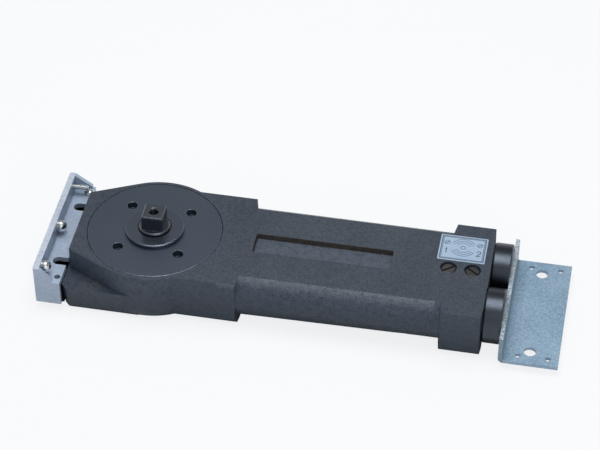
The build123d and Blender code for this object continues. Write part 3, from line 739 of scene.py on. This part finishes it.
# Darker copy of the front cap's steel: painted shade on the rear cap.
REAR_CAP_STEEL_SHADED = TurnedFinish(
    "rear_cap_steel_shaded", (0.042, 0.050, 0.063), (0.058, 0.067, 0.082), roughness=0.32, metallic=1.0,
    edge_radius=0.5 * MM, edge_colour=(0.12, 0.135, 0.155), edge_amount=0.5, relief=0.012 * MM,
    centre=(0.0, BARREL_OFFSET, BARREL_HEIGHT), axis=Axis.X)
TRAY_ZINC = TrayZincFinish(
    "tray_zinc", (0.27, 0.345, 0.46), (0.57, 0.67, 0.83), roughness=0.36, metallic=0.4,
    edge_radius=0.4 * MM, edge_colour=(0.8, 0.86, 0.95), edge_amount=0.6, relief=0.02 * MM,
    spangle=1100.0, cut_height=34.3 * MM, cut_base=(0.42, 0.49, 0.60), cut_pale=(0.62, 0.70, 0.82))
ANGLE_ZINC = FoldedZincFinish(
    "angle_zinc", (0.075, 0.17, 0.27), (0.47, 0.62, 0.77), roughness=0.4, metallic=0.35,
    edge_radius=0.35 * MM, edge_colour=(0.6, 0.68, 0.76), edge_amount=0.5, relief=0.03 * MM,
    spangle=1050.0, cut_base=(0.17, 0.24, 0.30), cut_pale=(0.66, 0.74, 0.80))
SCREW_PLATE = SmoothFinish(
    "screw_plate", (0.46, 0.50, 0.52), (0.66, 0.70, 0.73), roughness=0.14, metallic=1.0,
    edge_radius=0.2 * MM, edge_colour=(0.9, 0.91, 0.93), edge_amount=0.4)
VALVE_STEEL = SmoothFinish(
    "valve_steel", (0.05, 0.05, 0.052), (0.115, 0.113, 0.11), roughness=0.34, metallic=0.8,
    edge_radius=0.2 * MM, edge_colour=(0.3, 0.3, 0.29), edge_amount=0.5)
LABEL_FOIL = SmoothFinish(
    "label_foil", (0.31, 0.42, 0.57), (0.37, 0.49, 0.64), roughness=0.4, metallic=0.15,
    edge_radius=0.15 * MM, edge_colour=(0.85, 0.88, 0.92), edge_amount=0.8)
LABEL_INK = SmoothFinish(
    "label_ink", (0.03, 0.045, 0.08), (0.05, 0.07, 0.11), roughness=0.6,
    edge_radius=0.02 * MM, edge_colour=(0.06, 0.08, 0.12), edge_amount=0.2)
INNER_STEEL = SmoothFinish(
    "inner_steel", (0.3, 0.31, 0.33), (0.42, 0.43, 0.45), roughness=0.3, metallic=1.0,
    edge_radius=0.2 * MM, edge_colour=(0.6, 0.61, 0.63))
BEARING_STEEL = SmoothFinish(
    "bearing_steel", (0.5, 0.51, 0.53), (0.62, 0.63, 0.65), roughness=0.15, metallic=1.0,
    edge_radius=0.1 * MM, edge_colour=(0.7, 0.71, 0.73), edge_amount=0.3)
SPRING_WIRE = SmoothFinish(
    "spring_wire", (0.06, 0.06, 0.065), (0.11, 0.11, 0.12), roughness=0.35, metallic=0.9,
    edge_radius=0.3 * MM, edge_colour=(0.2, 0.2, 0.22), edge_amount=0.4)
VALVE_BRASS = SmoothFinish(
    "valve_brass", (0.45, 0.33, 0.12), (0.58, 0.44, 0.18), roughness=0.3, metallic=1.0,
    edge_radius=0.2 * MM, edge_colour=(0.7, 0.58, 0.3))
SEAL_RUBBER = Finish(
    "seal_rubber", (0.012, 0.012, 0.013), (0.022, 0.022, 0.024), roughness=0.6,
    edge_radius=0.2 * MM, edge_colour=(0.03, 0.03, 0.03), edge_amount=0.3)
GASKET_SHEET = Finish(
    "gasket_sheet", (0.04, 0.038, 0.03), (0.07, 0.065, 0.05), roughness=0.75,
    edge_radius=0.1 * MM, edge_colour=(0.08, 0.08, 0.07), edge_amount=0.3)


def put_in_scene(name: str, data: bpy.types.ID) -> bpy.types.Object:
    """Makes an object of a mesh, a lamp or a camera, and links it to the scene.

    Args:
        name: Name of the object.
        data: What it shows.

    Returns:
        The new object.
    """
    made = bpy.data.objects.new(name, data)
    bpy.context.scene.collection.objects.link(made)
    return made


@dataclass
class Assembly:
    """A group of the part's pieces that are dressed together."""

    name: str
    dresses: dict[str, Finish]

    def dress(self) -> None:
        """Gives each solid of the group its finish."""
        for node, finish in self.dresses.items():
            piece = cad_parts[node]
            piece.data.materials.clear()
            piece.data.materials.append(material_of(finish))
            log.info("%s: %s has %s", self.name, node, finish.name)

    def build(self) -> None:
        """Makes the meshes that the solids lack."""

    def add(self, piece: bpy.types.Object, body: str, slot: str, finish: Finish) -> None:
        """Puts a new piece on a body with a finish.

        Args:
            piece: The new piece.
            body: Body that it moves with.
            slot: Material slot of the record that it belongs to; not used.
            finish: Its finish.
        """
        piece.data.materials.append(material_of(finish))
        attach(piece, body)
        log.info("%s: made %s", self.name, piece.name)


MATERIALS: dict[str, bpy.types.Material] = {}


def material_of(finish: Finish) -> bpy.types.Material:
    """Gives the material of a finish, built at its first use.

    Args:
        finish: The finish.

    Returns:
        Its material.
    """
    if finish.name not in MATERIALS:
        MATERIALS[finish.name] = finish.material()
    return MATERIALS[finish.name]


class PlateDrawing:
    """Flat closed strips and rings, cut as one thin mesh that lies on a level face."""

    def __init__(self, name: str, base: float, thickness: float) -> None:
        """Starts an empty drawing.

        Args:
            name: Name of the piece.
            base: Height of the face that it lies on.
            thickness: Thickness of the lines.
        """
        self.name = name
        self.base = base
        self.thickness = thickness
        self.points: list[Point] = []
        self.faces: list[tuple[int, ...]] = []

    def strip(self, path: list[Spot], width: float, closed: bool = False) -> None:
        """Adds a line of even width along a path.

        Args:
            path: Corners of the line in plan.
            width: Width of the line.
            closed: Whether the last corner joins the first.
        """
        sharpest = 0.3
        count = len(path)
        start = len(self.points)
        for i, here in enumerate(path):
            before = path[i - 1] if closed or i else here
            after = path[(i + 1) % count] if closed or i < count - 1 else here
            arms = [Vector((b[0] - a[0], b[1] - a[1])) for a, b in ((before, here), (here, after))]
            arms = [arm.normalized() for arm in arms if arm.length > 0]
            sides = [Vector((-arm.y, arm.x)) for arm in arms]
            out = (sides[0] + sides[-1]).normalized()
            reach = width / 2 / max(sharpest, out.dot(sides[0]))
            for level in (self.base, self.base + self.thickness):
                for side in (-reach, reach):
                    self.points.append((here[0] + side * out.x, here[1] + side * out.y, level))
        for i in range(count if closed else count - 1):
            a, b = start + 4 * i, start + 4 * ((i + 1) % count)
            self.faces += [(a, a + 1, b + 1, b), (a + 2, b + 2, b + 3, a + 3)]
            self.faces += [(a, b, b + 2, a + 2), (a + 1, a + 3, b + 3, b + 1)]
        if not closed:
            end = start + 4 * (count - 1)
            self.faces += [(start, start + 2, start + 3, start + 1), (end, end + 1, end + 3, end + 2)]

    def arc(self, centre: Spot, radius: float, start: float, end: float, width: float) -> None:
        """Adds a curved line.

        Args:
            centre: Its centre in plan.
            radius: Its radius.
            start: Start angle in degrees.
            end: End angle in degrees.
            width: Width of the line.
        """
        fewest, degrees_a_step = 8, 10
        whole = abs(end - start) >= 360
        steps = max(fewest, int(abs(end - start) / degrees_a_step))
        count = steps if whole else steps + 1
        turns = [math.radians(start + (end - start) * i / steps) for i in range(count)]
        path = [(centre[0] + radius * math.cos(t), centre[1] + radius * math.sin(t)) for t in turns]
        self.strip(path, width, whole)

    def piece(self) -> bpy.types.Object:
        """Makes the drawing's object.

        Returns:
            The new object.
        """
        mesh = bpy.data.meshes.new(self.name)
        mesh.from_pydata(self.points, [], self.faces)
        mesh.validate()
        return put_in_scene(self.name, mesh)


@dataclass
class Shell(Assembly):
    """Iron shell with its cover and gasket."""

    name: str = "shell"
    dresses: dict[str, Finish] = field(default_factory=lambda: {
        "body_casting": SHELL_IRON, "cover_disc": COVER_IRON, "cover_gasket": GASKET_SHEET})


@dataclass
class LabelSheet(Assembly):
    """Thin label with a plain border, swing arcs and the two valves' numbers."""

    name: str = "label"
    dresses: dict[str, Finish] = field(default_factory=lambda: {"label_plate": LABEL_FOIL})
    inset: float = 1.2 * MM
    second_inset: float = 2.0 * MM
    bold: float = 0.6 * MM
    fine: float = 0.36 * MM
    ink: float = 0.02 * MM
    arcs_rise: float = 1.0 * MM
    hub_r: float = 1.5 * MM
    arc_radii: tuple[float, ...] = (4.5 * MM, 6.2 * MM, 7.9 * MM)
    arc_spans: tuple[Spot, ...] = ((25.0, 155.0), (205.0, 335.0))
    side: float = 10.6 * MM
    screw_rise: float = 3.6 * MM
    screw_r: float = 1.7 * MM
    screw_slot: Spot = (1.1 * MM, 0.8 * MM)
    number_drop: float = 6.4 * MM
    one: tuple[Spot, ...] = ((-0.9, 3.4), (0.1, 4.4), (0.1, 0.0))
    two: tuple[Spot, ...] = ((-1.2, 3.5), (-0.8, 4.2), (0.0, 4.5), (0.9, 4.2), (1.2, 3.4), (0.8, 2.5),
                             (-1.2, 0.0), (1.3, 0.0))

    def build(self) -> None:
        """Draws the border, the arcs, the screws and the numbers."""
        low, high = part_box("label_plate")
        drawing = PlateDrawing("label_print", high.z, self.ink)
        for inset, width in ((self.inset, self.bold), (self.second_inset, self.fine)):
            drawing.strip([(low.x + inset, low.y + inset), (high.x - inset, low.y + inset),
                           (high.x - inset, high.y - inset), (low.x + inset, high.y - inset)], width, True)
        middle = ((low.x + high.x) / 2, (low.y + high.y) / 2 + self.arcs_rise)
        drawing.arc(middle, self.hub_r, 0, 360, self.fine)
        for radius in self.arc_radii:
            for start, end in self.arc_spans:
                drawing.arc(middle, radius, start, end, self.fine)
        for side in (-self.side, self.side):
            head = Vector((middle[0] + side, middle[1] + self.screw_rise))
            slot = Vector(self.screw_slot)
            drawing.arc(tuple(head), self.screw_r, 0, 360, self.fine)
            drawing.strip([tuple(head - slot), tuple(head + slot)], self.bold)
        for number, side in ((self.one, -self.side), (self.two, self.side)):
            corner = (middle[0] + side, middle[1] - self.number_drop)
            drawing.strip([(corner[0] + x * MM, corner[1] + y * MM) for x, y in number], self.bold)
        self.add(drawing.piece(), "shell", "label_metal", LABEL_INK)


@dataclass
class SpindleDrive(Assembly):
    """Spindle with the thread in its end, its bearings and its seal."""

    name: str = "drive"
    dresses: dict[str, Finish] = field(default_factory=lambda: {
        "spindle": SPINDLE_STEEL, "bearing_collar": COLLAR_STEEL, "spindle_seal": SEAL_RUBBER,
        "upper_bearing_cup": INNER_STEEL, "upper_bearing_rollers": BEARING_STEEL,
        "lower_bearing_cup": INNER_STEEL, "lower_bearing_rollers": BEARING_STEEL,
        "thrust_washer": VALVE_BRASS})
    thread_r: float = 2.8 * MM
    thread_depth: float = 0.3 * MM
    thread_pitch: float = 1.0 * MM
    thread_top: float = 52.4 * MM
    thread_turns: int = 10
    thread_flank: float = 0.35
    steps: int = 24

    def build(self) -> None:
        """Winds the thread's ridge down the hole."""
        points: list[Point] = []
        faces: list[tuple[int, ...]] = []
        flank = self.thread_flank * self.thread_pitch
        for i in range(self.thread_turns * self.steps + 1):
            turn = 2 * math.pi * i / self.steps
            level = self.thread_top - self.thread_pitch * i / self.steps
            corners = ((self.thread_r, level + flank), (self.thread_r - self.thread_depth, level),
                       (self.thread_r, level - flank))
            points += [(r * math.cos(turn), r * math.sin(turn), z) for r, z in corners]
            if i:
                a, b = 3 * (i - 1), 3 * i
                faces += [(a + j, a + (j + 1) % 3, b + (j + 1) % 3, b + j) for j in range(3)]
        last = 3 * self.thread_turns * self.steps
        faces += [(0, 2, 1), (last, last + 1, last + 2)]
        mesh = bpy.data.meshes.new("drive_thread")
        mesh.from_pydata(points, [], faces)
        self.add(put_in_scene("drive_thread", mesh), "drive", "spindle_steel", THREAD_STEEL)


@dataclass
class Barrels(Assembly):
    """Pistons, springs, seats and caps of the two barrels."""

    name: str = "barrels"
    dresses: dict[str, Finish] = field(default_factory=lambda: {
        "rack_piston_front": INNER_STEEL, "rack_piston_rear": INNER_STEEL,
        "piston_seal_front": SEAL_RUBBER, "piston_seal_rear": SEAL_RUBBER,
        "check_valve_front": VALVE_BRASS, "check_valve_rear": VALVE_BRASS,
        "spring_front": SPRING_WIRE, "spring_rear": SPRING_WIRE,
        "spring_seat_front": INNER_STEEL, "spring_seat_rear": INNER_STEEL,
        "end_cap_front": FRONT_CAP_STEEL, "end_cap_rear": REAR_CAP_STEEL_SHADED,
        "end_cap_seal_front": SEAL_RUBBER, "end_cap_seal_rear": SEAL_RUBBER})
    sides: tuple[str, ...] = ("front", "rear")

    def build(self) -> None:
        """Copies each side's spring as a coil of its own and hides the imported one."""
        for side in self.sides:
            node = f"spring_{side}"
            coil = put_in_scene(f"{node}_coil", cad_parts[node].data.copy())
            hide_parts(node)
            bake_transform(coil)
            log.info("%s: made %s", self.name, coil.name)


@dataclass
class Valves(Assembly):
    """The two speed valves and their seals."""

    name: str = "valves"
    dresses: dict[str, Finish] = field(default_factory=lambda: {
        "closing_valve": VALVE_STEEL, "latching_valve": VALVE_STEEL,
        "closing_valve_seal": SEAL_RUBBER, "latching_valve_seal": SEAL_RUBBER})


@dataclass
class Brackets(Assembly):
    """Zinc tray and angle at the two ends, with their screws."""

    name: str = "brackets"
    dresses: dict[str, Finish] = field(default_factory=lambda: {
        "pivot_end_bracket": TRAY_ZINC, "bracket_screws": SCREW_PLATE, "adjusting_screw": SCREW_PLATE,
        "height_screw": SCREW_PLATE, "cap_end_bracket": ANGLE_ZINC, "cap_bracket_screws": SCREW_PLATE})


@dataclass(frozen=True)
class Lamp:
    """Soft square lamp, with its side in metres and its power in watts."""

    name: str
    place: Point
    aim: Point
    size: float
    power: float

    def hang(self) -> None:
        """Hangs the lamp at its place, turned towards its aim."""
        light = bpy.data.lights.new(self.name, "AREA")
        light.size = self.size
        light.energy = self.power
        made = put_in_scene(self.name, light)
        made.location = self.place
        made.rotation_euler = (Vector(self.aim) - Vector(self.place)).to_track_quat("-Z", "Y").to_euler()


KEY_LAMP = Lamp("key_lamp", place=(0.073, 0.089, 1.12), aim=(0.073, 0.089, 0.0), size=0.7, power=8.0)
FRONT_LAMP = Lamp("front_lamp", place=(0.75, -1.2, 0.95), aim=(0.1, 0.0, 0.02), size=1.2, power=5.0)


@dataclass
class Studio:
    """Pale floor, soft lamps and the camera."""

    floor_half: float = 8.0
    floor_colour: Colour = (0.45, 0.455, 0.46)
    floor_pale: Colour = (0.90, 0.905, 0.915)
    floor_white: Colour = (0.950, 0.958, 0.975)
    floor_glow: float = 0.86
    # Dark card under the tray: a painted shadow.
    shade_card_colour: Colour = (0.012, 0.013, 0.015)
    shade_card_low: Spot = (-68.0 * MM, -45.5 * MM)
    shade_card_high: Spot = (-51.2 * MM, 45.5 * MM)
    shade_card_height: float = 6.0 * MM
    # Rectangle of floor under the part where mirrors see a painted shadow.
    painted_shadow_low: Spot = (-69.0 * MM, -46.0 * MM)
    painted_shadow_high: Spot = (232.0 * MM, 46.0 * MM)
    horizon: float = 0.95
    middle: float = 0.35
    zenith: float = 0.75
    wall_rise: Spot = (0.12, 0.42)
    ceiling_rise: Spot = (0.8, 1.0)
    lamps: tuple[Lamp, ...] = (KEY_LAMP, FRONT_LAMP)
    camera_place: Point = (292.03 * MM, -1030.29 * MM, 1029.81 * MM)
    camera_forward: Point = (-0.1368, 0.7205, -0.6798)
    camera_roll: float = -0.11
    focal_length: float = 133.9
    sensor_width: float = 36.0

    def panel(self, name: str, low: Spot, high: Spot, height: float) -> Graph:
        """Lays a flat rectangle of the studio.

        Args:
            name: Name of the panel and its paint.
            low: Lowest corner in plan.
            high: Highest corner.
            height: Height above the floor.

        Returns:
            Graph of its empty material.
        """
        mesh = bpy.data.meshes.new(name)
        plan = (low, (high[0], low[1]), high, (low[0], high[1]))
        mesh.from_pydata([(x, y, height) for x, y in plan], [], [(0, 1, 2, 3)])
        made = put_in_scene(name, mesh)
        paint = bpy.data.materials.new(f"{name}_paint")
        paint.use_nodes = True
        paint.node_tree.nodes.clear()
        made.data.materials.append(paint)
        return Graph(paint.node_tree)

    def shade_card(self) -> None:
        """Lays a dark card inside the tray, a painted shadow under the tray's floor."""
        graph = self.panel("tray_shade_card", self.shade_card_low, self.shade_card_high, self.shade_card_height)
        paint = graph.node("BsdfDiffuse", {"Color": self.shade_card_colour}).outputs[0]
        graph.node("OutputMaterial", {"Surface": paint})

    def floor(self) -> None:
        """Lays the floor, which the camera and mirrors see nearly white with a faint shadow, with a painted
        shadow under the part for mirrors.
        """
        half = self.floor_half
        graph = self.panel("studio_floor", (-half, -half), (half, half), 0.0)
        rays = graph.node("LightPath").outputs
        mirrored = graph.math("MAXIMUM", rays["Is Glossy Ray"], rays["Is Transmission Ray"])
        # Painted shadow: under the part, mirrors see the floor without its glow.
        clear = graph.math("SUBTRACT", 1.0, self.painted_shadow_mask(graph, self.painted_shadow_low, self.painted_shadow_high))
        seen = graph.math("MAXIMUM", rays["Is Camera Ray"], graph.product(mirrored, clear))
        colour = graph.blend(seen, self.floor_colour, self.floor_pale)
        paint = graph.node("BsdfDiffuse", {"Color": colour}).outputs[0]
        glow = graph.node("Emission", {"Color": self.floor_white}).outputs[0]
        share = graph.product(seen, self.floor_glow)
        both = graph.node("MixShader", {0: share, 1: paint, 2: glow}).outputs[0]
        graph.node("OutputMaterial", {"Surface": both})

    def painted_shadow_mask(self, graph: Graph, low: Spot, high: Spot) -> Socket:
        """Mask of a rectangle of floor under the part, where a full shadow is painted for mirrors.

        Args:
            graph: Floor's graph.
            low: Lowest corner of the rectangle in plan.
            high: Highest corner.

        Returns:
            The mask.
        """
        apart = graph.apart()
        return graph.product(*(graph.between(apart[i], low[i], high[i]) for i in range(2)))

    def room(self) -> None:
        """Surrounds the part with pale walls, darker higher up, under a brighter ceiling."""
        world = bpy.data.worlds.new("studio_room")
        bpy.context.scene.world = world
        world.use_nodes = True
        world.node_tree.nodes.clear()
        graph = Graph(world.node_tree)
        towards = graph.node("TexCoord").outputs["Generated"]
        rise = graph.node("SeparateXYZ", {0: towards}).outputs[2]
        walls = graph.fit(rise, *self.wall_rise, self.horizon, self.middle)
        ceiling = graph.fit(rise, *self.ceiling_rise, self.middle, self.zenith)
        light = graph.math("MAXIMUM", walls, ceiling)
        back = graph.node("Background", {"Color": (1.0, 1.0, 1.0), "Strength": light}).outputs[0]
        graph.node("OutputWorld", {"Surface": back})

    def camera(self) -> None:
        """Sets the camera where the photograph was taken from."""
        lens = bpy.data.cameras.new("photo_camera")
        lens.lens = self.focal_length
        lens.sensor_width = self.sensor_width
        made = put_in_scene("photo_camera", lens)
        back = -Vector(self.camera_forward).normalized()
        right = Vector((0, 0, 1)).cross(back).normalized()
        up = back.cross(right)
        turn = Matrix((right, up, back)).transposed()
        turn = turn @ Matrix.Rotation(math.radians(self.camera_roll), 3, "Z")
        made.matrix_world = Matrix.Translation(self.camera_place) @ turn.to_4x4()
        bpy.context.scene.camera = made

    def build(self) -> None:
        """Builds the whole studio."""
        self.floor()
        self.shade_card()
        self.room()
        for lamp in self.lamps:
            lamp.hang()
        self.camera()
        bpy.context.scene.view_settings.view_transform = "Standard"
        log.info("studio: floor, room, lamps and camera are in place")


def assemblies() -> list[Assembly]:
    """Lists the part's groups in the order they are built."""
    return [Shell(), SpindleDrive(), Barrels(), Valves(), LabelSheet(), Brackets()]


def main() -> None:
    """Builds and dresses the part, and sets up its studio."""
    logging.basicConfig(level=logging.INFO, format="%(message)s")
    for group in assemblies():
        group.dress()
        group.build()
    Studio().build()


if __name__ == "__main__":
    main()
